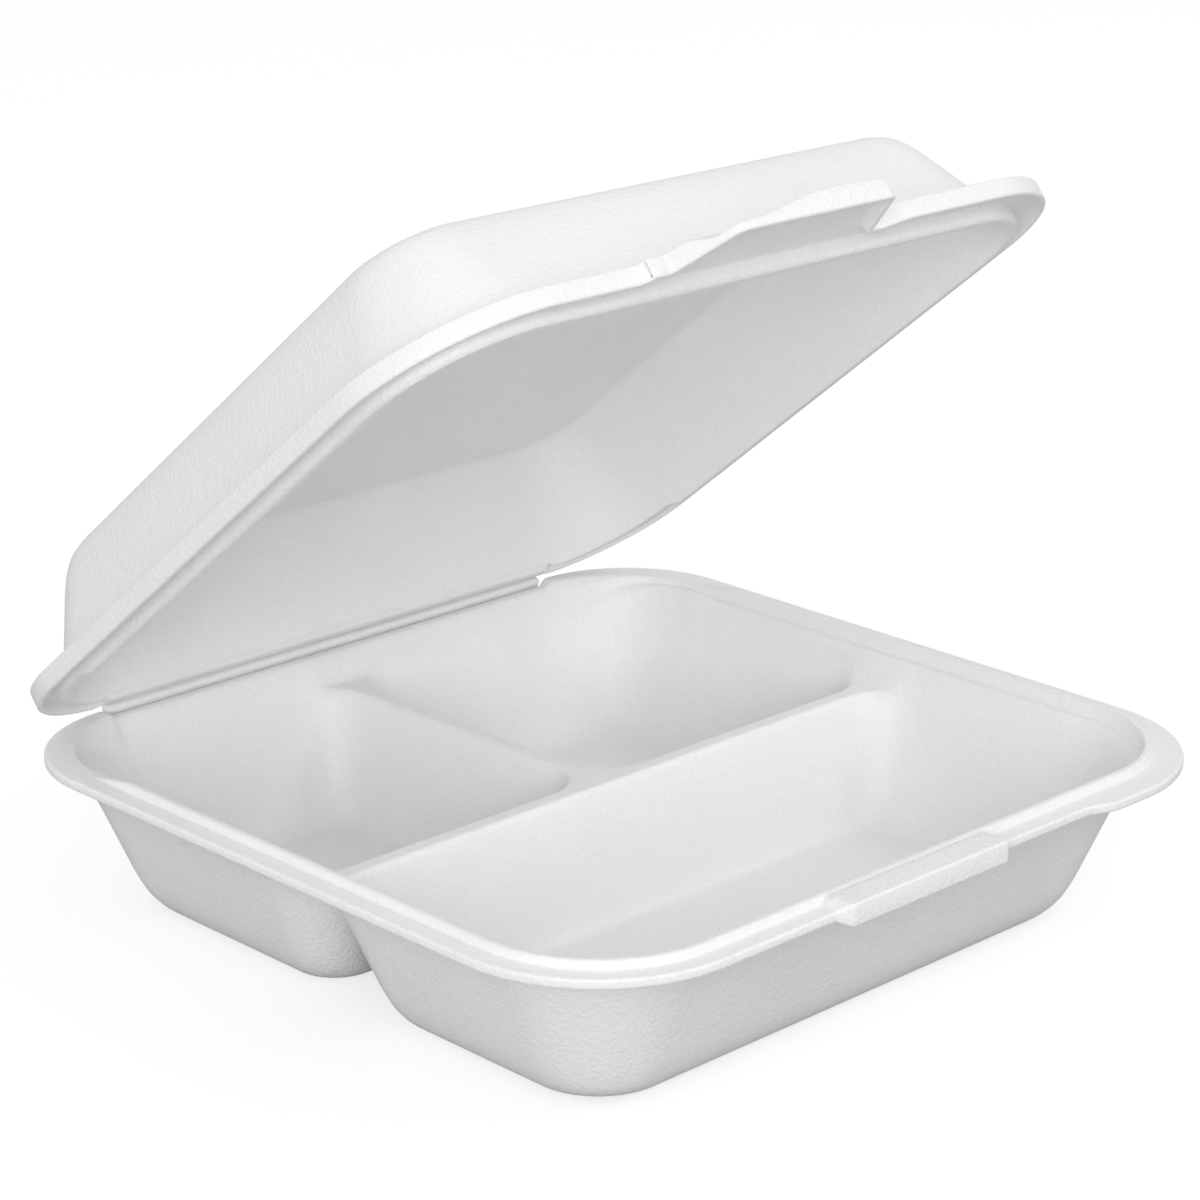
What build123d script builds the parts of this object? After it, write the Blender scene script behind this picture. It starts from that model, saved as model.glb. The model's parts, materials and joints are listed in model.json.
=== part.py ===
from build123d import *
from math import cos, radians, sin, tan
import os

# Hinged-lid food container, thermoformed from one sheet of white polystyrene foam.
# Millimetres. +X runs along the hinge, the latch is on the -Y side and +Z is up.
# The origin is on the table, under the middle of the front hollow's foot.

# ---- sheet and overall sizes ------------------------------------------------
sheet = 2.6                    # thickness of the foam
tray_width = 236.0             # along the hinge, over the rim flange
tray_depth = 229.0             # from the front of the flange to the hinge line
tray_height = 46.0             # from the table to the top of the flange
lid_height = 36.0              # from the flange top to the roof, when closed
lid_opening = 39.0             # degrees between the lid and its closed place
closed_gap = 0.3               # between the closed lid and the rim it lies on
rim_middle_y = 50.0            # the rim's middle, behind the origin

# ---- tray rim ---------------------------------------------------------------
front_corner_radius = 42.0
back_corner_radius = 36.0
flange_reach = 5.2             # flat flange outside the raised bead
bead_width = 3.4
bead_rise = 2.0
bead_round = 0.9
bead_end = 40.0                # the bead stops this far in front of the hinge line
seat_width = 3.6               # lower seat between the bead and the hollows
seat_drop = 1.7
back_strip = 5.0               # rim between the hollows and the hinge line
grip_reach = 3.0               # wider rim for opening, at the right front corner
grip_start = 54.0              # along X from the middle
grip_blend = 10.0
grip_round = 14.0

# ---- tray hollows -----------------------------------------------------------
wall_draft = 22.0
divider_draft = 15.0
divider_drop = 9.0             # divider tops below the flange
divider_width = 6.0
cross_divider_shift = 0.0      # divider along X, behind the rim's middle
back_divider_x = -4.0          # divider along Y, between the two back hollows
hollow_radius = 30.0           # plan corners at the seat
floor_radius = 16.0            # plan corners at the floor
divider_radius = 15.0          # where a divider meets a wall
divider_floor_radius = 9.0
floor_fillet = 6.0

# ---- latch ledge on the tray's front ----------------------------------------
latch_middle = -8.0
latch_width = 61.0
latch_reach = 3.0
latch_skirt = 6.0              # height of the ledge's front face
latch_round = 2.4

# ---- hinge ------------------------------------------------------------------
hinge_length = 160.0
strip_width = 4.6              # between the two score lines
score_gap = 0.4                # pressed film between a score's two sides

# ---- lid --------------------------------------------------------------------
bead_fit = 0.4                 # between the bead and the lid's channel, each side
skirt_thickness = 2.0
skirt_height = 5.5             # rim height outside the channel
lid_draft = 24.0
lid_front_radius = 40.0
lid_back_radius = 34.0
lid_hollow_radius = 30.0
roof_radius = 16.0
roof_fillet = 6.0
tab_root = 73.0                # opening tab, where it leaves the rim
tab_tip = 50.0
tab_reach = 20.0
tab_round = 3.0

# ---- places worked out from the sizes ---------------------------------------
half_width = tray_width / 2
front_y = rim_middle_y - tray_depth / 2
hinge_y = rim_middle_y + tray_depth / 2
cross_divider_y = rim_middle_y + cross_divider_shift
seat_z = tray_height - seat_drop
rim_inset = flange_reach + bead_width + seat_width
hollow_half = half_width - rim_inset
hollow_front = front_y + rim_inset
hollow_back = hinge_y - back_strip
score_half = score_gap / 2
half_sheet = sheet / 2

# The strip between the score lines takes half of the fold at each of its edges.
fold = 90.0 - lid_opening / 2
tray_score = Vector(0, hinge_y, seat_z - half_sheet)
strip_plane = Plane(tray_score, x_dir=(0, cos(radians(fold)), sin(radians(fold))), z_dir=(1, 0, 0))
lid_score = strip_plane.from_local_coords(Vector(strip_width, 0))

# The lid is drawn as if closed: local Z from the flange top, local Y from the hinge line.
lid_up = Vector(0, sin(radians(lid_opening)), cos(radians(lid_opening)))
lid_score_height = strip_width - half_sheet - seat_drop
lid_plane = Plane(lid_score - lid_up * lid_score_height, x_dir=(1, 0, 0), z_dir=lid_up)
lid_inset = flange_reach - bead_fit - skirt_thickness
lid_half = half_width - lid_inset
lid_front = -tray_depth + lid_inset
shoulder_z = skirt_height - sheet


def rim_outline(half, front, back, radii, grip_from, inset=0.0):
    """Outline of a rim: two front corners, a wider grip at the right one, two back corners."""
    left, right = -half + inset, half - inset
    near, far = front + inset, back - inset
    grip_to = grip_from + grip_blend
    grip_y = near - grip_reach
    points = [(left, near), (grip_from, near), (grip_to, grip_y), (right, grip_y), (right, far), (left, far)]
    front_turn, back_turn = radii[0] - inset, radii[1] - inset
    turns = [front_turn, grip_round, grip_round, front_turn, back_turn, back_turn]
    with BuildLine() as outline:
        FilletPolyline(*points, radius=turns, close=True)
    make_face(outline.edges())


def plain_outline(half, front, back, radii, inset=0.0):
    """A rectangle with one radius at the front corners and one at the back corners."""
    left, right = -half + inset, half - inset
    near, far = front + inset, back - inset
    turns = [radii[0] - inset, radii[0] - inset, radii[1] - inset, radii[1] - inset]
    with BuildLine() as outline:
        FilletPolyline((left, near), (right, near), (right, far), (left, far), radius=turns, close=True)
    make_face(outline.edges())


def drafted_outline(sides, drafts, turns, depth, grow):
    """Plan of a drafted hollow at a depth. Grown by the sheet, it is the outside of the wall."""
    moves = [depth * tan(radians(draft)) - grow / cos(radians(draft)) for draft in drafts]
    left, right = sides[0] + moves[0], sides[1] - moves[1]
    near, far = sides[2] + moves[2], sides[3] - moves[3]
    radii = [turn + grow for turn in turns]
    with BuildLine() as outline:
        FilletPolyline((left, near), (right, near), (right, far), (left, far), radius=radii, close=True)
    make_face(outline.edges())


# Each hollow: its sides at the seat (left, right, front, back), the draft of each side,
# and whether each plan corner (left front, right front, right back, left back) is the rim's own.
divider_half = divider_width / 2 - (divider_drop - seat_drop) * tan(radians(divider_draft))
hollows = {
    "front": (
        (-hollow_half, hollow_half, hollow_front, cross_divider_y - divider_half),
        (wall_draft, wall_draft, wall_draft, divider_draft),
        (True, True, False, False),
    ),
    "back_left": (
        (-hollow_half, back_divider_x - divider_half, cross_divider_y + divider_half, hollow_back),
        (wall_draft, divider_draft, divider_draft, wall_draft),
        (False, False, False, True),
    ),
    "back_right": (
        (back_divider_x + divider_half, hollow_half, cross_divider_y + divider_half, hollow_back),
        (divider_draft, wall_draft, divider_draft, wall_draft),
        (False, False, True, False),
    ),
}
hollow_depth = seat_z - sheet


def cup_radii(rim_corners, at_floor):
    own, other = (floor_radius, divider_floor_radius) if at_floor else (hollow_radius, divider_radius)
    return [own if rim_corner else other for rim_corner in rim_corners]


def cup_solid(name, grow):
    """One tapered hollow, or with grow the outside of its wall, down to its rounded floor."""
    sides, drafts, rim_corners = hollows[name]
    depth = hollow_depth + grow
    with BuildPart() as cup:
        with BuildSketch(Plane.XY.offset(seat_z)):
            drafted_outline(sides, drafts, cup_radii(rim_corners, False), 0.0, grow)
        with BuildSketch(Plane.XY.offset(seat_z - depth)):
            drafted_outline(sides, drafts, cup_radii(rim_corners, True), depth, grow)
        loft(ruled=True)
        fillet(cup.faces().sort_by(Axis.Z)[0].edges(), floor_fillet + grow)
    return cup.part


def over_divider(grow):
    """The space over both dividers, or with grow the solid under it, between the drafted walls."""
    lower = divider_drop - seat_drop + grow
    reach = divider_width + divider_radius
    top = -grow / cos(radians(wall_draft))
    bottom = top + lower * tan(radians(wall_draft))
    low_z = seat_z - lower
    with BuildPart() as space:
        with BuildSketch(Plane.XZ.offset(-cross_divider_y)):
            Polygon(
                (-hollow_half + top, seat_z), (-hollow_half + bottom, low_z),
                (hollow_half - bottom, low_z), (hollow_half - top, seat_z), align=None,
            )
        extrude(amount=reach, both=True)
        with BuildSketch(Plane.YZ.offset(back_divider_x)):
            Polygon(
                (cross_divider_y, seat_z), (cross_divider_y, low_z),
                (hollow_back - bottom, low_z), (hollow_back - top, seat_z), align=None,
            )
        extrude(amount=reach, both=True)
    return space.part


def score_cut(plane):
    """Clears the sheet past a score line, mitred on the inner face so that it can fold shut."""
    reach = strip_width
    with BuildPart() as cut:
        with BuildSketch(plane):
            Polygon(
                (-score_half, -reach), (-score_half, 0), (-score_half - half_sheet, half_sheet),
                (-score_half - half_sheet, reach), (reach, reach), (reach, -reach), align=None,
            )
        extrude(amount=hinge_length / 2 + score_gap, both=True)
    return cut.part


# ---- base_tray: three hollows under one rim ---------------------------------
tray_radii = (front_corner_radius, back_corner_radius)
bead_inner = flange_reach + bead_width

with BuildPart() as bead:
    with BuildSketch(Plane.XY.offset(seat_z - half_sheet)):
        plain_outline(half_width, front_y, hinge_y, tray_radii, flange_reach)
    extrude(amount=seat_drop + half_sheet + bead_rise)
    with BuildSketch(Plane.XY.offset(seat_z - sheet)):
        plain_outline(half_width, front_y, hinge_y, tray_radii, bead_inner)
    extrude(amount=sheet + seat_drop + bead_rise, mode=Mode.SUBTRACT)
    with BuildSketch(Plane.XY.offset(seat_z - sheet)):
        with Locations((0, hinge_y)):
            Rectangle(tray_width, 2 * bead_end)
    extrude(amount=sheet + seat_drop + bead_rise, mode=Mode.SUBTRACT)
    fillet(bead.faces().sort_by(Axis.Z)[-1].edges(), bead_round)

with BuildPart() as latch_ledge:
    with BuildSketch(Plane.XY.offset(tray_height + bead_rise)):
        with Locations((latch_middle, front_y - latch_reach)):
            Rectangle(latch_width, latch_reach + flange_reach + bead_width / 2, align=(Align.CENTER, Align.MIN))
    extrude(amount=-latch_skirt)
    fillet(latch_ledge.edges().filter_by(Axis.Z).group_by(Axis.Y)[0], latch_round)
    fillet(latch_ledge.faces().sort_by(Axis.Z)[-1].edges().group_by(Axis.Y)[0], bead_round)

with BuildPart() as base_tray:
    with BuildSketch(Plane.XY.offset(tray_height - sheet)):
        rim_outline(half_width, front_y, hinge_y, tray_radii, grip_start)
    extrude(amount=sheet)
    with BuildSketch(Plane.XY.offset(seat_z - sheet)):
        plain_outline(half_width, front_y, hinge_y, tray_radii, flange_reach)
        with Locations((0, hinge_y)):
            Rectangle(hinge_length, 2 * rim_inset)
        with Locations((0, hinge_y)):
            Rectangle(tray_width, rim_inset, align=(Align.CENTER, Align.MIN), mode=Mode.SUBTRACT)
    extrude(amount=sheet)
    with BuildSketch(Plane.XY.offset(seat_z)):
        plain_outline(half_width, front_y, hinge_y, tray_radii, bead_inner)
        with Locations((0, hinge_y)):
            Rectangle(hinge_length, 2 * rim_inset)
    extrude(amount=sheet, mode=Mode.SUBTRACT)
    for hollow in hollows:
        add(cup_solid(hollow, sheet))
    add(over_divider(sheet))
    add(bead.part)
    add(latch_ledge.part)
    for hollow in hollows:
        add(cup_solid(hollow, 0.0), mode=Mode.SUBTRACT)
    add(over_divider(0.0), mode=Mode.SUBTRACT)
    add(score_cut(Plane(tray_score, x_dir=(0, 1, 0), z_dir=(1, 0, 0))), mode=Mode.SUBTRACT)

# ---- hinge_strip: the bar between the two pressed score lines ---------------
with BuildPart() as hinge_strip:
    with BuildSketch(strip_plane):
        Polygon(
            (score_half, -half_sheet), (strip_width - score_half, -half_sheet), (strip_width - score_half, 0),
            (strip_width - score_half - half_sheet, half_sheet), (score_half + half_sheet, half_sheet),
            (score_half, 0), align=None,
        )
    extrude(amount=hinge_length / 2, both=True)

# ---- lid: a drafted dome whose rim channel closes over the tray's bead -------
lid_radii = (lid_front_radius, lid_back_radius)
lid_grip_start = latch_middle + tab_root / 2
lip_inset = bead_inner + bead_fit - lid_inset
lip_z = closed_gap - seat_drop
lid_sides = (-hollow_half, hollow_half, hollow_front - hinge_y, -back_strip)
lid_drafts = (lid_draft,) * 4
rim_turns = (lid_hollow_radius,) * 4
roof_turns = (roof_radius,) * 4


def tab_outline(inset):
    """The opening tab: wide where it leaves the rim, narrower at its tip."""
    root, tip = tab_root / 2 - inset, tab_tip / 2 - inset
    start = lid_front + skirt_thickness
    end = lid_front - tab_reach + inset
    with BuildLine() as outline:
        FilletPolyline(
            (latch_middle - root, start), (latch_middle - root, lid_front), (latch_middle - tip, end),
            (latch_middle + tip, end), (latch_middle + root, lid_front), (latch_middle + root, start),
            radius=[0, tab_round, tab_round, tab_round, tab_round, 0], close=True,
        )
    make_face(outline.edges())


with BuildPart() as lid_dome:
    with BuildSketch(lid_plane.offset(shoulder_z)):
        drafted_outline(lid_sides, lid_drafts, rim_turns, shoulder_z - lip_z, sheet)
    with BuildSketch(lid_plane.offset(lid_height)):
        drafted_outline(lid_sides, lid_drafts, roof_turns, lid_height - lip_z, sheet)
    loft(ruled=True)
    fillet(lid_dome.faces().sort_by(Axis(lid_plane.origin, lid_up))[-1].edges(), roof_fillet + sheet)

with BuildPart() as lid_hollow:
    with BuildSketch(lid_plane.offset(lip_z)):
        drafted_outline(lid_sides, lid_drafts, rim_turns, 0.0, 0.0)
    with BuildSketch(lid_plane.offset(lid_height - sheet)):
        drafted_outline(lid_sides, lid_drafts, roof_turns, lid_height - sheet - lip_z, 0.0)
    loft(ruled=True)
    fillet(lid_hollow.faces().sort_by(Axis(lid_plane.origin, lid_up))[-1].edges(), roof_fillet)

with BuildPart() as lid:
    with BuildSketch(lid_plane.offset(closed_gap)):
        rim_outline(lid_half, lid_front, 0.0, lid_radii, lid_grip_start)
        tab_outline(0.0)
    extrude(amount=skirt_height - closed_gap)
    with BuildSketch(lid_plane.offset(closed_gap)):
        rim_outline(lid_half, lid_front, 0.0, lid_radii, lid_grip_start, skirt_thickness)
        tab_outline(skirt_thickness)
    extrude(amount=shoulder_z - closed_gap, mode=Mode.SUBTRACT)
    with BuildSketch(lid_plane.offset(lip_z)):
        plain_outline(lid_half, lid_front, 0.0, lid_radii, lip_inset)
    extrude(amount=skirt_height - lip_z)
    with BuildSketch(lid_plane.offset(lip_z)):
        Rectangle(tray_width, 2 * bead_end)
    extrude(amount=closed_gap - lip_z, mode=Mode.SUBTRACT)
    with BuildSketch(lid_plane.offset(closed_gap)):
        Rectangle(hinge_length + 2 * sheet, back_strip + sheet, align=(Align.CENTER, Align.MAX))
    extrude(amount=sheet)
    with BuildSketch(lid_plane.offset(closed_gap + sheet)):
        Rectangle(hinge_length, back_strip, align=(Align.CENTER, Align.MAX))
    extrude(amount=sheet, mode=Mode.SUBTRACT)
    add(lid_dome.part)
    add(lid_hollow.part, mode=Mode.SUBTRACT)
    add(score_cut(Plane(lid_score, x_dir=lid_plane.y_dir, z_dir=(-1, 0, 0))), mode=Mode.SUBTRACT)

# ---- files ------------------------------------------------------------------
os.makedirs("parts", exist_ok=True)
for name, piece in (("base_tray", base_tray), ("hinge_strip", hinge_strip), ("lid", lid)):
    piece.part.label = name
    export_step(piece.part, f"parts/{name}.step")
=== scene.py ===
import json
from math import ceil, cos, pi, radians, sin, tan

import bpy
import numpy as np
from mathutils import Matrix, Vector
from mathutils.geometry import delaunay_2d_cdt


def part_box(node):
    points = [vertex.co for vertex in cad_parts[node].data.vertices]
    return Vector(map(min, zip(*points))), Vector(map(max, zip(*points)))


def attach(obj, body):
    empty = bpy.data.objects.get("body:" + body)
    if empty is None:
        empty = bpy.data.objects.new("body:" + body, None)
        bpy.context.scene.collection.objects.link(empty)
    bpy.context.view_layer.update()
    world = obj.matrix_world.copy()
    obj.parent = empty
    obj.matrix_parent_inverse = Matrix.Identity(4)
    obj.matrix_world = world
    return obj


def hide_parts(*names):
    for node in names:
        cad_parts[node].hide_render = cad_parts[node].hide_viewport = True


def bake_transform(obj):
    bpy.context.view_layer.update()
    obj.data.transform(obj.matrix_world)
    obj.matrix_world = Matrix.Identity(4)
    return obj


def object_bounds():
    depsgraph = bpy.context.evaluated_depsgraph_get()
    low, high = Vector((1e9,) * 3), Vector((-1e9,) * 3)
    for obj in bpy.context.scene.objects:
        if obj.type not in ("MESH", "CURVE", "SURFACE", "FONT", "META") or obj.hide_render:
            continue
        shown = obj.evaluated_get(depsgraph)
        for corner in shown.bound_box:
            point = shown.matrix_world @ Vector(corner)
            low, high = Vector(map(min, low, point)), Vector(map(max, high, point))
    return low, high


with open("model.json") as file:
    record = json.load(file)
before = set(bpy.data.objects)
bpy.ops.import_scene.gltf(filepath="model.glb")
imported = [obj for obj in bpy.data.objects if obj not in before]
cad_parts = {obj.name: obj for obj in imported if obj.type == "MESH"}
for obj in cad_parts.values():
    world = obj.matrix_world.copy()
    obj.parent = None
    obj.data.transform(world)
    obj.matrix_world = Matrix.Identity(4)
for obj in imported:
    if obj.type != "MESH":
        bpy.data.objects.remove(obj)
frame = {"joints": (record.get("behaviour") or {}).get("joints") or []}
bpy.context.view_layer.update()
cad_low, cad_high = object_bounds()

# ---- white foam -------------------------------------------------------------
# Extruded polystyrene foam, from which the whole container is pressed: a satin skin
# over fine closed cells. Pressing leaves a faint grain and smooths it in patches.
foam_white, foam_shade = (0.925, 0.925, 0.93, 1), (0.84, 0.84, 0.85, 1)
foam_roughness, patch_roughness = 0.42, 0.16
foam_specular = 0.45
cell_scale, grain_scale, patch_scale = 900.0, 520.0, 38.0
dent_strength, dent_depth = 0.6, 0.00042


class Value:
    """A number that varies over a surface, so that shader maths reads as an expression."""

    def __init__(self, finish, socket):
        self.finish, self.socket = finish, socket

    def maths(self, operation, *inputs):
        return self.finish.node("ShaderNodeMath", {"operation": operation}, list(inputs))

    def __add__(self, other):
        return self.maths("ADD", self, other)

    def __sub__(self, other):
        return self.maths("SUBTRACT", self, other)

    def __rsub__(self, other):
        return self.maths("SUBTRACT", other, self)

    def __mul__(self, other):
        return self.maths("MULTIPLY", self, other)

    __radd__, __rmul__ = __add__, __mul__


class Finish:
    """A material, or the world, and the nodes that make it up."""

    def __init__(self, owner, output="ShaderNodeOutputMaterial"):
        self.owner, self.output = owner, output
        owner.use_nodes = True
        self.tree = owner.node_tree
        self.tree.nodes.clear()

    def node(self, kind, settings=None, inputs=None, output=0):
        """Adds a node: its settings first, then the values or links of its sockets."""
        made = self.tree.nodes.new(kind)
        for name, value in (settings or {}).items():
            setattr(made, name, value)
        pairs = inputs.items() if isinstance(inputs, dict) else enumerate(inputs or [])
        for name, value in pairs:
            if isinstance(value, Value):
                self.tree.links.new(value.socket, made.inputs[name])
            else:
                made.inputs[name].default_value = value
        return Value(self, made.outputs[output]) if made.outputs else None

    def surface(self, shader):
        self.node(self.output, inputs={"Surface": shader})


foam = Finish(bpy.data.materials.new("white_foam"))
place = foam.node("ShaderNodeTexCoord", output="Object")
cells = foam.node("ShaderNodeTexVoronoi", inputs={"Vector": place, "Scale": cell_scale})
grain = foam.node(
    "ShaderNodeTexNoise", inputs={"Vector": place, "Scale": grain_scale, "Detail": 3.0})
patches = foam.node(
    "ShaderNodeTexNoise", inputs={"Vector": place, "Scale": patch_scale, "Detail": 2.0})
skin = 0.55 * cells + 0.6 * grain
dents = foam.node("ShaderNodeBump", inputs={
    "Height": skin + 0.3 * patches, "Strength": dent_strength, "Distance": dent_depth})
tint = foam.node(
    "ShaderNodeMix", {"data_type": "RGBA"},
    {"Factor": 0.5 * patches + 0.5 * skin, "A": foam_white, "B": foam_shade}, "Result")
foam.surface(foam.node("ShaderNodeBsdfPrincipled", inputs={
    "Base Color": tint, "Roughness": foam_roughness + patch_roughness * (patches - 0.5),
    "Normal": dents, "Specular IOR Level": foam_specular}))

# ---- tray -------------------------------------------------------------------
# The base: a rim with a raised bead round three sides, and three tapered hollows
# parted by low dividers. One pressed sheet, with a latch ledge on the front edge.
# Sizes are in millimetres here and in the lid and the hinge, and go out in metres.
MM = 0.001
sheet, tray_height, seat_drop = 2.6, 46.0, 1.7
half_sheet = sheet / 2
front_turn, back_turn = 42, 36
flange_reach, bead_inner, rim_inset, back_strip = 5.2, 8.6, 12.2, 5.0
bead_rise, bead_round, bead_end, bead_fade, bead_rest = 2.0, 0.9, 40.0, 14, 4
latch_middle, latch_half, latch_reach, latch_skirt = -8.0, 30.5, 3.0, 1.4
seam_depth, seam_inset, seam_spread = 0.25, 0.4, 0.3
ledge_past, ledge_within, ledge_back, ledge_gone = 1, 3, 12, 20
skirt_full, skirt_gone = 2.2, 3.4
curb_rise, curb_inset, curb_spread, curb_starts, curb_full = 1.2, 11.3, 1.2, 50, 36
seat_slope, under_slope = (-0.4, 0.8), (-2.2, -0.8)
strip_slope, strip_ends_slope = (-16, -12), (-1.5, 2.5)
grip_start, grip_blend, grip_reach = 54.0, 10.0, 3.0
widening_ends, widening_gone = 40, 90
score_half = 0.2
wall_draft, divider_draft = 22, 15
divider_width, divider_depth, divider_x = 6.0, 7.3, -4.0
top_turn, floor_turn, divider_turn, divider_floor_turn = 30, 16, 15, 9
divider_crest, seat_edge, floor_edge, hollow_join = 7.0, 4.0, 13.0, 5.0
tray_edge_round = 0.7

joints = {joint["name"]: joint for joint in frame["joints"]}
tray_score = Vector(joints["lid_opening"]["pos_m"]) / MM
tray_low, tray_high = (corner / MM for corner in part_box("base_tray"))
half_width = tray_high.x
hollow_half = half_width - rim_inset
front_y, hinge_y = tray_low.y + latch_reach, tray_score.y
hollow_front, hollow_back = front_y + rim_inset, hinge_y - back_strip
hinge_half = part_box("hinge_strip")[1].x / MM
flange_z = tray_low.z + tray_height
seat_z = flange_z - seat_drop
floor_depth = seat_z - tray_low.z - sheet
divider_y = (front_y + hinge_y) / 2
divider_half = divider_width / 2 - divider_depth * tan(radians(divider_draft))
rim_sides = (-half_width, half_width, front_y, hinge_y)
rim_turns = (front_turn, front_turn, back_turn, back_turn)


def rounded(corners, step):
    """A closed outline through (x, y, radius) corners, with about one point every step."""
    points, count = [], len(corners)
    for number, (x, y, radius) in enumerate(corners):
        corner = Vector((x, y))
        back = (Vector(corners[number - 1][:2]) - corner).normalized()
        on = (Vector(corners[(number + 1) % count][:2]) - corner).normalized()
        half = back.angle(on) / 2
        centre = corner + (back + on).normalized() * radius / sin(half)
        first = corner + back * radius / tan(half) - centre
        side = 1 if back.x * on.y - back.y * on.x < 0 else -1
        turn = side * (pi - 2 * half)
        pieces = max(4, ceil(abs(turn) * radius / step))
        points += [
            centre + Matrix.Rotation(turn * piece / pieces, 2) @ first
            for piece in range(pieces + 1)]
    divided = []
    for number, point in enumerate(points):
        run = points[(number + 1) % len(points)] - point
        pieces = max(1, round(run.length / step))
        divided += [point + run * piece / pieces for piece in range(pieces)]
    return np.array(divided)


def rectangle(left, right, near, far, front_round, back_round):
    return [
        (left, near, front_round), (right, near, front_round),
        (right, far, back_round), (left, far, back_round)]


def inset_of(x, y, left, right, near, far, turns):
    """How far inside a rounded rectangle each point is. Its corners' radii run round
    from the front left to the back left."""
    across, along = x - (left + right) / 2, y - (near + far) / 2
    front = np.where(across < 0, turns[0], turns[1])
    back = np.where(across < 0, turns[3], turns[2])
    turn = np.where(along < 0, front, back)
    past_x = np.abs(across) - (right - left) / 2 + turn
    past_y = np.abs(along) - (far - near) / 2 + turn
    corner = np.hypot(np.maximum(past_x, 0), np.maximum(past_y, 0))
    return turn - corner - np.minimum(np.maximum(past_x, past_y), 0)


def ramp(value, start, end):
    """0 at start and 1 at end, eased at both."""
    share = np.clip((value - start) / (end - start), 0, 1)
    return share * share * (3 - 2 * share)


def soft_max(first, second, blend):
    """The larger of two heights, rounded where they cross."""
    overlap = np.clip(blend - np.abs(first - second), 0, None)
    return np.maximum(first, second) + overlap * overlap / (4 * blend)


def soft_min(first, second, blend):
    return -soft_max(-first, -second, blend)


class Hollow:
    """A tapered hollow: its sides at the top, their drafts, its depth and its corners' radii."""

    shallowest, deepest, halvings = -60.0, 100.0, 24

    def __init__(self, sides, drafts, depth, top_turns, floor_turns):
        self.sides, self.drafts, self.depth = sides, [radians(draft) for draft in drafts], depth
        self.top_turns, self.floor_turns = top_turns, floor_turns

    def outline(self, down, grow):
        """Sides and corner radii at a depth. Grown by the sheet, they are the wall's outside."""
        moves = [down * tan(draft) - grow / cos(draft) for draft in self.drafts]
        left, right, near, far = self.sides
        share = np.clip(down / self.depth, 0, 1)
        turns = [
            top + (floor - top) * share + grow
            for top, floor in zip(self.top_turns, self.floor_turns)]
        return (left + moves[0], right - moves[1], near + moves[2], far - moves[3]), turns

    def depth_at(self, x, y, grow=0.0):
        """The depth at which the wall passes through each point, by halving."""
        shallow, deep = np.full(x.shape, self.shallowest), np.full(x.shape, self.deepest)
        for _ in range(self.halvings):
            down = (shallow + deep) / 2
            sides, turns = self.outline(down, grow)
            within = inset_of(x, y, *sides, turns) > 0
            shallow, deep = np.where(within, down, shallow), np.where(within, deep, down)
        return (shallow + deep) / 2

    def ring(self, down, grow, step):
        """The wall's outline at a depth, as points."""
        (left, right, near, far), turns = self.outline(down, grow)
        corners = [(left, near), (right, near), (right, far), (left, far)]
        return rounded([(*corner, float(turn)) for corner, turn in zip(corners, turns)], step)


def edge_distance(points, edge):
    """How far each point is from a closed edge."""
    nearest = np.full(len(points), np.inf)
    for start, end in zip(edge, np.roll(edge, -1, axis=0)):
        run = end - start
        share = np.clip((points - start) @ run / (run @ run), 0, 1)
        gap = points - start - share[:, None] * run
        nearest = np.minimum(nearest, np.hypot(gap[:, 0], gap[:, 1]))
    return nearest


def inside(points, edge):
    """Which points are inside a closed edge, by counting crossings."""
    within = np.zeros(len(points), bool)
    for start, end in zip(edge, np.roll(edge, -1, axis=0)):
        if start[1] != end[1]:
            spans = (points[:, 1] < start[1]) != (points[:, 1] < end[1])
            over = (points[:, 1] - start[1]) * (end[0] - start[0]) / (end[1] - start[1])
            within ^= spans & (points[:, 0] < start[0] + over)
    return within


def moved_in(edge, distance):
    """The edge's points moved inwards, leaving out those that a tight corner would fold."""
    run = np.roll(edge, -1, axis=0) - np.roll(edge, 1, axis=0)
    run /= np.hypot(run[:, 0], run[:, 1])[:, None]
    moved = edge + distance * np.column_stack((-run[:, 1], run[:, 0]))
    return moved[edge_distance(moved, edge) > distance * 0.95]


edge_steps = (0.1, 0.35, 0.7, 1.0, 1.7)    # rings over the rounded edge, in its radius
edge_clear = 0.08                          # nearer the edge than this, points are left out
link_reach = 5.0                           # a ring isn't joined over a longer gap
same_point = 1e-6


def pressed_face(edge, rings, height, edge_round):
    """One face of a pressed sheet: rings joined in plan, then each point lifted to its height."""
    rings = [moved_in(edge, edge_round * share) for share in edge_steps] + rings
    points, links, number = np.vstack(rings), [], 0
    for ring in rings:
        links += [(number + step, number + (step + 1) % len(ring)) for step in range(len(ring))]
        number += len(ring)
    kept = inside(points, edge)
    kept[kept] = edge_distance(points[kept], edge) > edge_round * edge_clear
    place_of = np.cumsum(kept) - 1 + len(edge)
    links = [
        (int(place_of[one]), int(place_of[two])) for one, two in links
        if kept[one] and kept[two] and np.hypot(*(points[one] - points[two])) < link_reach]
    corners, _, triangles, *_ = delaunay_2d_cdt(
        [Vector(point) for point in np.vstack((edge, points[kept])).tolist()],
        links, [list(range(len(edge)))], 1, same_point)
    flat = np.array([tuple(corner) for corner in corners])
    triangles = np.array([tuple(triangle) for triangle in triangles])
    turned = flat[triangles]
    (ax, ay), (bx, by) = (turned[:, 1] - turned[:, 0]).T, (turned[:, 2] - turned[:, 0]).T
    triangles[ax * by < ay * bx] = triangles[ax * by < ay * bx][:, ::-1]
    depth = edge_distance(flat, edge)
    short = np.clip(edge_round - depth, 0, None)
    tucked = edge_round - np.sqrt(np.clip(edge_round**2 - short**2, 0, None))
    return flat, height(flat[:, 0], flat[:, 1], depth), tucked, triangles


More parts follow.
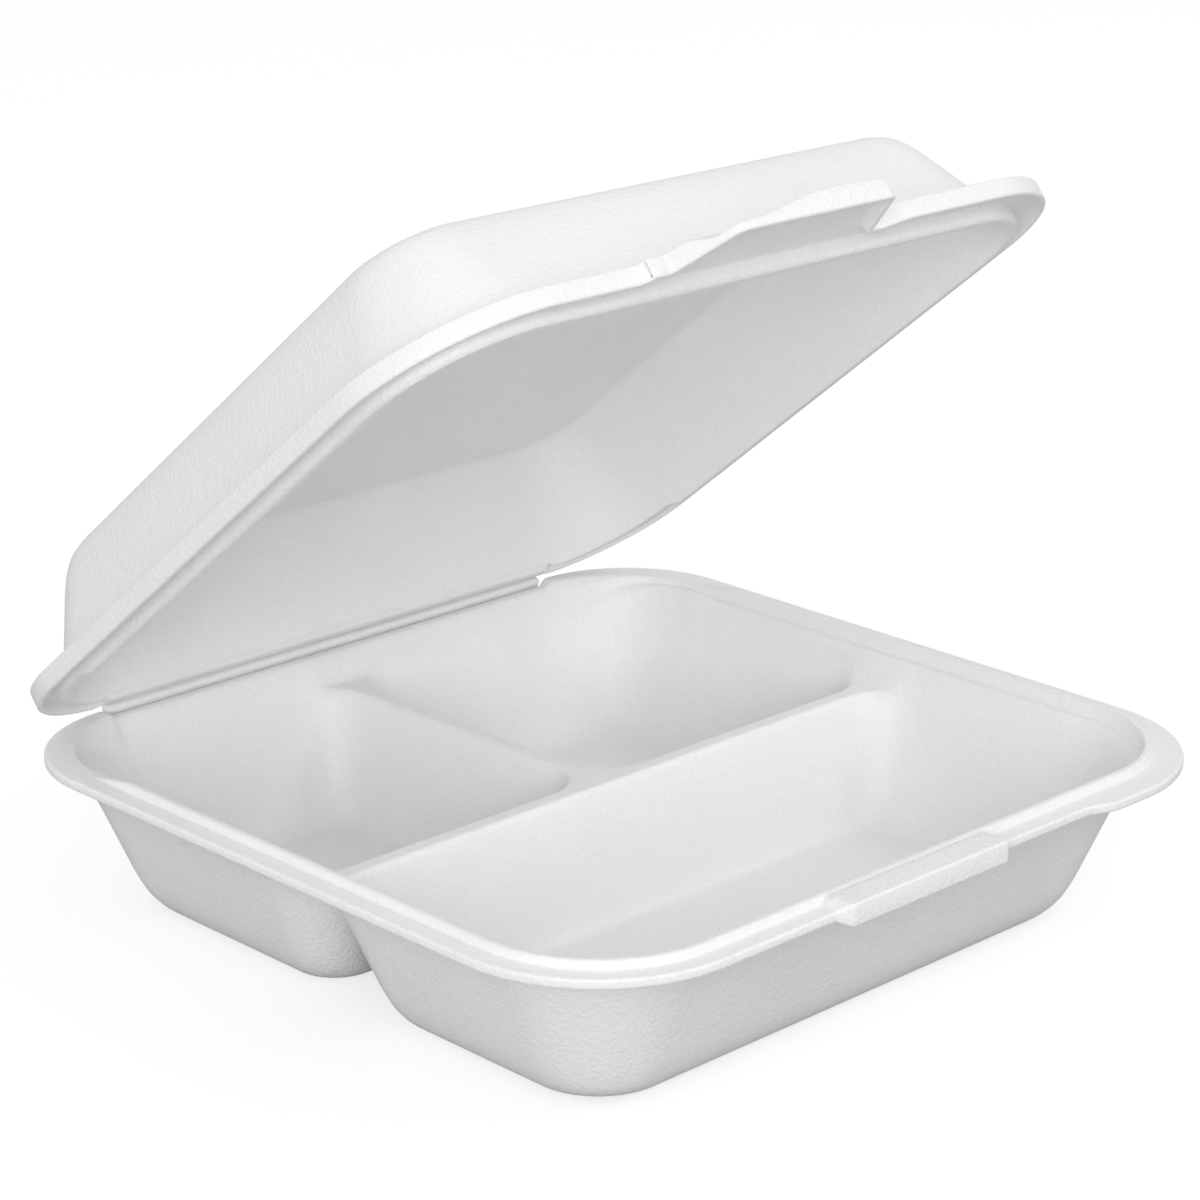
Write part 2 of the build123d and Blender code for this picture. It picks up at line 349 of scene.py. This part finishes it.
def placed(name, data):
    """A mesh, a lamp or a camera put into the scene."""
    thing = bpy.data.objects.new(name, data)
    bpy.context.collection.objects.link(thing)
    return thing


def foam_piece(name, points, faces):
    mesh = bpy.data.meshes.new(name)
    mesh.from_pydata(points, [], faces)
    mesh.validate()
    mesh.shade_smooth()
    mesh.materials.append(foam.owner)
    return placed(name, mesh)


def pressed_sheet(name, edge, top_rings, top, under_rings, under, edge_round, to_world):
    """A closed sheet between two faces that share one edge."""
    flat_top, z_top, tucked_top, faces_top = pressed_face(edge, top_rings, top, edge_round)
    flat_under, z_under, tucked_under, faces_under = pressed_face(
        edge, under_rings, under, edge_round)
    points = np.vstack((
        np.column_stack((flat_top, z_top - tucked_top)),
        np.column_stack((flat_under, z_under + tucked_under))))
    count, first = len(edge), len(flat_top)
    sides = [
        (number, first + number, first + (number + 1) % count, (number + 1) % count)
        for number in range(count)]
    world = points @ np.array(to_world.to_3x3()).T + np.array(to_world.translation)
    faces = faces_top.tolist() + (faces_under[:, ::-1] + first).tolist() + sides
    return foam_piece(name, (world * MM).tolist(), faces)


def at_latch(x):
    """1 along the latch ledge, 0 on the rim past its ends."""
    left, right = latch_middle - latch_half, latch_middle + latch_half
    along = ramp(x, left - ledge_past, left + ledge_within)
    return along * (1 - ramp(x, right - ledge_within, right + ledge_past))


def at_front(y):
    """1 on the front of the rim, 0 behind it."""
    return 1 - ramp(y, front_y + ledge_back, front_y + ledge_gone)


def at_hinge(x, y):
    """1 on the lowered strip along the hinge, 0 on the flange."""
    start, end = strip_ends_slope
    along = 1 - ramp(np.abs(x), hinge_half + start, hinge_half + end)
    return along * ramp(y, hinge_y + strip_slope[0], hinge_y + strip_slope[1])


tray_hollows = [
    Hollow(
        (-hollow_half, hollow_half, hollow_front, divider_y - divider_half),
        (wall_draft, wall_draft, wall_draft, divider_draft), floor_depth,
        (top_turn, top_turn, divider_turn, divider_turn),
        (floor_turn, floor_turn, divider_floor_turn, divider_floor_turn)),
    Hollow(
        (-hollow_half, divider_x - divider_half, divider_y + divider_half, hollow_back),
        (wall_draft, divider_draft, divider_draft, wall_draft), floor_depth,
        (divider_turn, divider_turn, divider_turn, top_turn),
        (divider_floor_turn, divider_floor_turn, divider_floor_turn, floor_turn)),
    Hollow(
        (divider_x + divider_half, hollow_half, divider_y + divider_half, hollow_back),
        (divider_draft, wall_draft, divider_draft, wall_draft), floor_depth,
        (divider_turn, divider_turn, top_turn, divider_turn),
        (divider_floor_turn, divider_floor_turn, floor_turn, divider_floor_turn)),
]
above_dividers = Hollow(
    (-hollow_half, hollow_half, hollow_front, hollow_back), (wall_draft,) * 4, floor_depth,
    (top_turn,) * 4, (floor_turn,) * 4)


def hollowed(x, y, grow):
    """Depth below the seat of the hollows and the dividers between them."""
    divider = soft_min(above_dividers.depth_at(x, y, grow), divider_depth + grow, divider_crest)
    depth = soft_max(divider, grow, seat_edge)
    for hollow in tray_hollows:
        floor = soft_min(hollow.depth_at(x, y, grow), floor_depth + grow, floor_edge)
        depth = soft_max(depth, floor, hollow_join)
    return depth


def tray_top(x, y, edge):
    """Height of the face that holds the food, with the bead, the ledge and the hinge's mitre."""
    rim, hinge = inset_of(x, y, *rim_sides, rim_turns), at_hinge(x, y)
    flange = (1 - ramp(rim, bead_inner + seat_slope[0], bead_inner + seat_slope[1])) * (1 - hinge)
    bead_back = 1 - ramp(rim, bead_inner - bead_round, bead_inner)
    bead = ramp(rim, flange_reach, flange_reach + bead_round) * bead_back
    bead *= 1 - ramp(y, hinge_y - bead_end - bead_fade, hinge_y - bead_end + bead_rest)
    ledge = at_latch(x) * bead_back * at_front(y)
    seam = seam_depth * np.exp(-((rim - flange_reach - seam_inset) ** 2) / seam_spread) * ledge
    curb = curb_rise * np.exp(-((rim - curb_inset) ** 2) / curb_spread)
    curb = curb * ramp(y, hinge_y - curb_starts, hinge_y - curb_full) * (1 - hinge)
    mitre = np.clip(y - hinge_y + score_half + half_sheet, 0, half_sheet) * hinge
    raised = seat_drop * flange + bead_rise * np.maximum(bead, ledge) + curb - seam - mitre
    return seat_z + raised - hollowed(x, y, 0.0)


def tray_under(x, y, edge):
    """Height of the outside, with the ledge's front edge turned down a little."""
    rim = inset_of(x, y, *rim_sides, rim_turns)
    flange = 1 - ramp(rim, bead_inner + under_slope[0], bead_inner + under_slope[1])
    flange *= 1 - at_hinge(x, y)
    skirt = latch_skirt * at_latch(x) * (1 - ramp(edge, skirt_full, skirt_gone)) * at_front(y)
    return seat_z + seat_drop * flange - skirt - hollowed(x, y, sheet)


def widened(points, front, reach_at):
    """An edge's points pushed forwards by a reach, which fades out away from the front."""
    fade = 1 - ramp(points[:, 1], front + widening_ends, front + widening_gone)
    return np.column_stack((points[:, 0], points[:, 1] - reach_at(points[:, 0]) * fade))


def tray_reach(x):
    """The latch ledge, and the wider rim that a thumb pushes down to open the lid."""
    return grip_reach * ramp(x, grip_start, grip_start + grip_blend) + latch_reach * at_latch(x)


latch_margin, latch_points, on_front = 8, 150, 0.001
rim_step, under_rim_step, wall_step, under_wall_step = 1.6, 2.0, 2.2, 2.4
closer = np.linspace(
    latch_middle - latch_half - latch_margin, latch_middle + latch_half + latch_margin,
    latch_points)
tray_edge = rounded(
    rectangle(-half_width, half_width, front_y, hinge_y - score_half, front_turn, back_turn),
    under_rim_step)
at_ledge = (tray_edge[:, 1] < front_y + on_front) & (
    np.abs(tray_edge[:, 0] - latch_middle) < latch_half + latch_margin)
first_at_ledge = int(np.flatnonzero(at_ledge)[0])
tray_edge = widened(np.vstack((
    tray_edge[:first_at_ledge], np.column_stack((closer, np.full(closer.shape, front_y))),
    tray_edge[~at_ledge][first_at_ledge:])), front_y, tray_reach)


def rim_rings(sides, turns, insets, step):
    """Rings round the rim at each inset from its edge."""
    left, right, near, far = sides
    return [
        rounded(rectangle(
            left + inset, right - inset, near + inset, far - inset,
            turns[0] - inset, turns[2] - inset), step)
        for inset in insets]


def hollow_rings(hollows, grow, depths, step):
    return [hollow.ring(down, grow, step) for hollow in hollows for down in depths]


def row_across(y, left, right, count):
    return np.column_stack((np.linspace(left, right, count), np.full(count, y)))


def row_back(x, near, far, count):
    return np.column_stack((np.full(count, x), np.linspace(near, far, count)))


def filling(sides, spacing):
    """Single points on a grid, where no ring runs."""
    left, right, near, far = sides
    across, along = np.meshgrid(np.arange(left, right, spacing), np.arange(near, far, spacing))
    return [np.array([point]) for point in zip(across.ravel(), along.ravel())]


wall_depths = (
    -3, -1.5, 0, 1.5, 3, 5, 7.5, 10, 14, 18, 22, 26, 29, 32, 34.5, 37, 39, 41, 43, 45.5, 48, 51, 55)
bead_insets = (
    3.5, 4.6, 5.2, 5.4, 5.65, 5.9, 6.2, 6.9, 7.5, 7.8, 8.05, 8.3, 8.55, 8.8, 9.1, 9.4, 10.2, 11.2)
under_insets = (3.5, 5, 6.4, 6.9, 7.4, 7.8, 8.4, 9.2)
crest_offsets = (-3.2, -1.8, 0, 1.8, 3.2)
open_spacing = 6.0
ledge_rows = [
    np.column_stack((closer, np.full(closer.shape, front_y + back)))
    for back in (-1.6, -0.8, 0.2, 1.4, 3.0)]
hinge_rows = [
    row_back(side * (hinge_half + past), hinge_y - 17, hinge_y - 0.6, 24)
    for side in (-1, 1) for past in (-1.5, -0.8, 0, 0.8, 1.6, 2.5)
] + [
    row_across(hinge_y - before, -hinge_half, hinge_half, 80)
    for before in (0.9, 1.5, 1.9, 12.0, 14.0, 16.0)]
divider_rows = [
    row_across(divider_y + offset, -hollow_half, hollow_half, 110) for offset in crest_offsets
] + [
    row_back(divider_x + offset, divider_y, hollow_back, 60) for offset in crest_offsets]
tray = pressed_sheet(
    "tray_shell", tray_edge,
    rim_rings(rim_sides, rim_turns, bead_insets, rim_step) + ledge_rows + hinge_rows + divider_rows
    + hollow_rings(tray_hollows, 0.0, wall_depths, wall_step)
    + hollow_rings([above_dividers], 0.0, (-3, -1.5, 0, 1.5, 4), wall_step)
    + filling(rim_sides, open_spacing),
    tray_top,
    rim_rings(rim_sides, rim_turns, under_insets, under_rim_step) + ledge_rows + hinge_rows
    + hollow_rings(tray_hollows, sheet, wall_depths, under_wall_step)
    + hollow_rings([above_dividers], sheet, (-2, 0, 2, 4, 7, 10), under_wall_step)
    + filling(rim_sides, open_spacing),
    tray_under, tray_edge_round, Matrix.Identity(4),
)
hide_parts("base_tray")
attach(tray, "tray")

# ---- lid --------------------------------------------------------------------
# A tapered dome whose rim has a channel underneath that closes over the tray's bead.
# A hollow opening tab stands out of its front edge and snaps over the latch ledge.
# It is shaped lying shut, with the score line at 0, and turned up to where it is held.
lid_height, lid_draft = 36.0, 24
lid_front_turn, lid_back_turn, lid_top_turn, roof_turn = 40, 34, 30, 16
skirt_height, skirt_width, skirt_foot = 5.5, 2.0, 0.3
channel_z, lip_z, lip_inset = skirt_height - sheet, -1.4, 6.2
roof_edge, roof_inner_edge, shoulder_edge, channel_edge = 11.0, 7.0, 3.0, 1.6
tab_root, tab_tip, tab_reach = 36.5, 25.0, 20.0
tab_sheet, tab_crown_slope = 1.6, (7, 14)
tab_fullness, tab_full_x, tab_full_slope = 0.8, 10, (4, 26)
tab_thinning, tab_thin_x, tab_thin_run = 2.8, 6, 30
skirt_slope, lip_slope = (-0.5, 0.4), (-0.3, 0.5)
lid_strip_slope, lid_strip_ends = (-2.5, 0.5), 4
lid_grip_slope = (1, 14)
shoulder_step, tab_start = 2.4, 0.5
score_height = 1.6
lid_edge_round = 0.6

lid_score = Vector(joints["lid_fold"]["pos_m"]) / MM
opening = radians(joints["lid_opening"]["range_deg"][1] + joints["lid_fold"]["range_deg"][1])
lid_half = (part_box("lid")[1] / MM).x
lid_front = -(hinge_y - front_y) + (half_width - lid_half)
lid_up = Vector((0, sin(opening), cos(opening)))
lid_back = Vector((0, cos(opening), -sin(opening)))
lid_origin = lid_score - lid_up * score_height
lid_place = Matrix((
    (1, 0, 0, lid_origin.x), (0, lid_back.y, lid_up.y, lid_origin.y),
    (0, lid_back.z, lid_up.z, lid_origin.z), (0, 0, 0, 1)))
lid_sides = (-lid_half, lid_half, lid_front, 0.0)
lid_turns = (lid_front_turn, lid_front_turn, lid_back_turn, lid_back_turn)
dome = Hollow(
    (-hollow_half, hollow_half, hollow_front - hinge_y, -back_strip), (lid_draft,) * 4,
    lid_height - lip_z, (lid_top_turn,) * 4, (roof_turn,) * 4)


def at_lid_hinge(x, y):
    """1 on the thin strip along the hinge, 0 on the rest of the lid's rim."""
    start, end = lid_strip_slope
    along = 1 - ramp(np.abs(x), hinge_half, hinge_half + lid_strip_ends)
    return along * ramp(y, -back_strip + start, -back_strip + end)


def tab_crown(x, y):
    """The tab's face is fuller right of its middle and thins out to the left."""
    fuller = tab_fullness * (1 - ramp(np.abs(x - latch_middle - tab_full_x), *tab_full_slope))
    thinner = tab_thinning * ramp(latch_middle + tab_thin_x - x, 0, tab_thin_run)
    return (fuller - thinner) * ramp(lid_front - y, *tab_crown_slope)


def lid_top(x, y, edge):
    """Height of the outside: the rim, and the dome rising out of it."""
    rise = lip_z + dome.depth_at(x, y, sheet)
    shoulder = skirt_height - sheet * at_lid_hinge(x, y) + tab_crown(x, y)
    return soft_max(shoulder, soft_min(rise, lid_height, roof_edge), shoulder_edge)


def lid_under(x, y, edge):
    """Height of the inside: a skirt at the edge, the channel, a lip, then the dome."""
    rim, hinge = inset_of(x, y, *lid_sides, lid_turns), at_lid_hinge(x, y)
    skirt = 1 - ramp(edge, skirt_width + skirt_slope[0], skirt_width + skirt_slope[1])
    lip = ramp(rim, lip_inset + lip_slope[0], lip_inset + lip_slope[1])
    along_bead = 1 - ramp(y, -bead_end - bead_rest, -bead_end + bead_rest)
    foot = np.minimum(channel_z, skirt_height + tab_crown(x, y) - tab_sheet)
    foot = foot - (foot - skirt_foot) * np.maximum(skirt, hinge)
    foot += np.clip(y + score_half + half_sheet, 0, half_sheet) * hinge
    lip_foot = skirt_foot - (skirt_foot - lip_z) * along_bead
    low = foot + (lip_foot - foot) * lip * (1 - hinge)
    rise = lip_z + dome.depth_at(x, y)
    return soft_max(low, soft_min(rise, lid_height - sheet, roof_inner_edge), channel_edge)


def lid_reach(x):
    """The right of the front rim widens over the tray's grip."""
    start = latch_middle + tab_root
    return grip_reach * ramp(x, start + lid_grip_slope[0], start + lid_grip_slope[1])


lid_edge_step, lid_rim_step, channel_step, dome_step = 1.6, 2.0, 1.6, 1.8
lid_edge = widened(rounded([
    (-lid_half, lid_front, lid_front_turn), (latch_middle - tab_root - 4, lid_front, 3),
    (latch_middle - tab_root - 3, lid_front - shoulder_step, 1.0),
    (latch_middle - tab_root + 2, lid_front - shoulder_step, 1.5),
    (latch_middle - tab_tip, lid_front - tab_reach, 5),
    (latch_middle + tab_tip + 3, lid_front - tab_reach, 3),
    (latch_middle + tab_root, lid_front - tab_start, 1.2),
    (lid_half, lid_front - tab_start, lid_front_turn),
    (lid_half, -score_half, lid_back_turn), (-lid_half, -score_half, lid_back_turn),
], lid_edge_step), lid_front, lid_reach)
dome_depths = (
    -1.5, 0, 1.5, 3, 4.5, 6, 7, 8, 9.5, 12, 16, 20, 24, 27, 29.5, 32, 34, 36, 38, 40, 43, 46, 50,
    55)
top_insets, channel_insets = (2.5, 4, 5.5, 7, 8.5), (3.5, 5, 5.8, 6.1, 6.35, 6.7, 7.5, 8.4, 9.0)
skirt_rings = [moved_in(lid_edge, inset) for inset in (1.45, 1.7, 1.95, 2.2, 2.45)]
tab_filling = filling(
    (latch_middle - tab_root, latch_middle + tab_root, lid_front - tab_reach, lid_front + 2), 2.0)
lid_hinge_rows = [
    row_back(side * (hinge_half + past), -9, -0.6, 12)
    for side in (-1, 1) for past in (0, 1, 2, 3, 4)
] + [
    row_across(-before, -hinge_half, hinge_half, 80)
    for before in (0.9, 1.5, 1.9, 4.5, 5.5, 6.5, 7.5)]
lid = pressed_sheet(
    "lid_shell", lid_edge,
    rim_rings(lid_sides, lid_turns, top_insets, lid_rim_step) + tab_filling + lid_hinge_rows
    + hollow_rings([dome], sheet, dome_depths, dome_step) + filling(lid_sides, open_spacing),
    lid_top,
    rim_rings(lid_sides, lid_turns, channel_insets, channel_step) + skirt_rings + tab_filling
    + lid_hinge_rows + hollow_rings([dome], 0.0, (-1, 0, 1) + dome_depths, dome_step)
    + filling(lid_sides, open_spacing),
    lid_under, lid_edge_round, lid_place,
)
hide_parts("lid")
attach(lid, "cover")

# ---- hinge bar --------------------------------------------------------------
# The bar of foam left between the two pressed score lines, with its long edges
# rounded by the press. Its inner face bulges where the mitres let it.
strip_thick, strip_crown = 1.3, 1.6
bar_sides, bar_square = 32, 0.6
end_round, end_size, end_growth, end_clear = 1.4, 0.55, 0.45, 4
end_turns = (0, 20, 40, 60, 90)
hinge_line = Vector((1, 0, 0))
strip_along = (lid_score - tray_score).normalized()
strip_out = strip_along.cross(hinge_line)
strip_middle = (tray_score + lid_score) / 2
strip_half = (lid_score - tray_score).length / 2 - score_half


def lofted(name, sections):
    """A closed solid through sections with the same number of points, capped at both ends."""
    count = len(sections[0])
    points = [tuple(point * MM) for section in sections for point in section]
    faces = [
        (row * count + number, row * count + (number + 1) % count,
         (row + 1) * count + (number + 1) % count, (row + 1) * count + number)
        for row in range(len(sections) - 1) for number in range(count)]
    caps = [tuple(reversed(range(count))), tuple(range(len(points) - count, len(points)))]
    return foam_piece(name, points, faces + caps)


def strip_section(x, size):
    """The bar's section at a place along the hinge, drawn in where its ends round off."""
    points = []
    for number in range(bar_sides):
        turn = 2 * pi * number / bar_sides
        along, out = cos(turn), sin(turn)
        if out > 0:
            out = strip_crown * out**3
        else:
            along = abs(along) ** bar_square * (1 if along > 0 else -1)
            out = -strip_thick * abs(out) ** bar_square
        points.append(
            Vector((x, 0, 0)) + strip_middle + strip_along * along * strip_half * size
            - strip_out * out * size)
    return points


left_end = [
    (-hinge_half + end_round * (1 - cos(radians(turn))), end_size + end_growth * sin(radians(turn)))
    for turn in end_turns]
stations = (
    left_end + [(x, 1.0) for x in np.linspace(-hinge_half + end_clear, hinge_half - end_clear, 60)]
    + [(-x, size) for x, size in reversed(left_end)])
strip = lofted("hinge_bar", [strip_section(float(x), size) for x, size in stations])
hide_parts("hinge_strip")
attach(strip, "strip")

# ---- hinge films ------------------------------------------------------------
# The thin films of crushed foam left under the two score lines. They join the bar to
# the tray and to the lid.
film_reach, film_half_thick = 0.7, 0.18
film_steps, film_sections, film_end = 9, 41, 0.5


def film(name, score, first, second):
    """A thin film over one score line, from a point on one side to a point on the other."""
    lines = []
    for number in range(film_steps):
        share = number / (film_steps - 1)
        bend = first * (1 - share) ** 2 + 2 * share * (1 - share) * score + second * share**2
        tangent = ((score - first) * (1 - share) + (second - score) * share).normalized()
        lines.append((bend, tangent.cross(hinge_line)))
    loop = [line + out * film_half_thick for line, out in lines]
    loop += [line - out * film_half_thick for line, out in reversed(lines)]
    stops = np.linspace(-hinge_half + film_end, hinge_half - film_end, film_sections)
    piece = lofted(name, [[point + Vector((float(x), 0, 0)) for point in loop] for x in stops])
    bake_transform(piece)


film(
    "tray_film", tray_score, tray_score - Vector((0, film_reach, 0)),
    tray_score + strip_along * film_reach)
film(
    "lid_film", lid_score, lid_score - strip_along * film_reach,
    lid_score - lid_back * film_reach)

# ---- table ------------------------------------------------------------------
# A plain white table under the container. Seen directly it is as white as the studio
# round it, and it keeps the container's soft shadow.
table_half = 3.0
table_grey, seen_grey = (0.5, 0.5, 0.5, 1), (0.4, 0.4, 0.4, 1)
seen_glow = (0.68, 0.68, 0.68, 1)

table_mesh = bpy.data.meshes.new("table")
table_mesh.from_pydata([
    (-table_half, -table_half, 0), (table_half, -table_half, 0),
    (table_half, table_half, 0), (-table_half, table_half, 0)], [], [(0, 1, 2, 3)])
table = placed("table", table_mesh)
table.location.z = cad_low.z

white_table = Finish(bpy.data.materials.new("white_table"))
white_table.surface(white_table.node("ShaderNodeMixShader", inputs=[
    white_table.node("ShaderNodeLightPath", output="Is Camera Ray"),
    white_table.node("ShaderNodeBsdfDiffuse", inputs={"Color": table_grey}),
    white_table.node("ShaderNodeAddShader", inputs=[
        white_table.node("ShaderNodeBsdfDiffuse", inputs={"Color": seen_grey}),
        white_table.node("ShaderNodeEmission", inputs={"Color": seen_glow, "Strength": 1.0}),
    ]),
]))
table_mesh.materials.append(white_table.owner)

# ---- studio -----------------------------------------------------------------
# A white room that lights the foam evenly from all round, and two large soft lamps:
# one high on the right that draws the shadow, and one low on the left that fills it.
studio_light = 0.74
white = (1, 1, 1, 1)

studio = Finish(bpy.data.worlds.new("studio"), "ShaderNodeOutputWorld")
studio.surface(studio.node("ShaderNodeMixShader", inputs=[
    studio.node("ShaderNodeLightPath", output="Is Camera Ray"),
    studio.node("ShaderNodeBackground", inputs={"Color": white, "Strength": studio_light}),
    studio.node("ShaderNodeBackground", inputs={"Color": white, "Strength": 1.0}),
]))
bpy.context.scene.world = studio.owner


def softbox(name, position, aim, side, power):
    """A square soft lamp turned towards the container."""
    lamp = bpy.data.lights.new(name, "AREA")
    lamp.shape, lamp.size, lamp.size_y, lamp.energy = "RECTANGLE", side, side, power
    holder = placed(name, lamp)
    holder.location = position
    holder.rotation_mode = "QUATERNION"
    holder.rotation_quaternion = (Vector(aim) - Vector(position)).to_track_quat("-Z", "Y")


softbox("key", (0.9, -0.9, 1.15), (0, 0.05, 0.05), 0.6, 4.2)
softbox("fill", (-1.2, -0.95, 0.55), (0, 0.05, 0.1), 0.8, 10.0)

# ---- camera -----------------------------------------------------------------
# A long lens a little above the rim, off the near corner between the front and the left.
camera_turn, camera_rise, camera_distance = radians(-44.06), radians(18.76), 0.911
camera_left, camera_lift = 0.005, 0.0401
sensor_width, lens = 36.0, 105.8
shift_x, shift_y = -0.0002, 0.0033

camera_aim = Vector((-camera_left, divider_y * MM, flange_z * MM + camera_lift))
camera_back = Vector((
    sin(camera_turn) * cos(camera_rise), -cos(camera_turn) * cos(camera_rise), sin(camera_rise)))
camera = placed("camera", bpy.data.cameras.new("camera"))
camera.location = camera_aim + camera_back * camera_distance
camera.rotation_mode = "QUATERNION"
camera.rotation_quaternion = (-camera_back).to_track_quat("-Z", "Y")
camera.data.sensor_width, camera.data.lens = sensor_width, lens
camera.data.shift_x, camera.data.shift_y = shift_x, shift_y
bpy.context.scene.camera = camera
bpy.context.scene.view_settings.view_transform = "Standard"
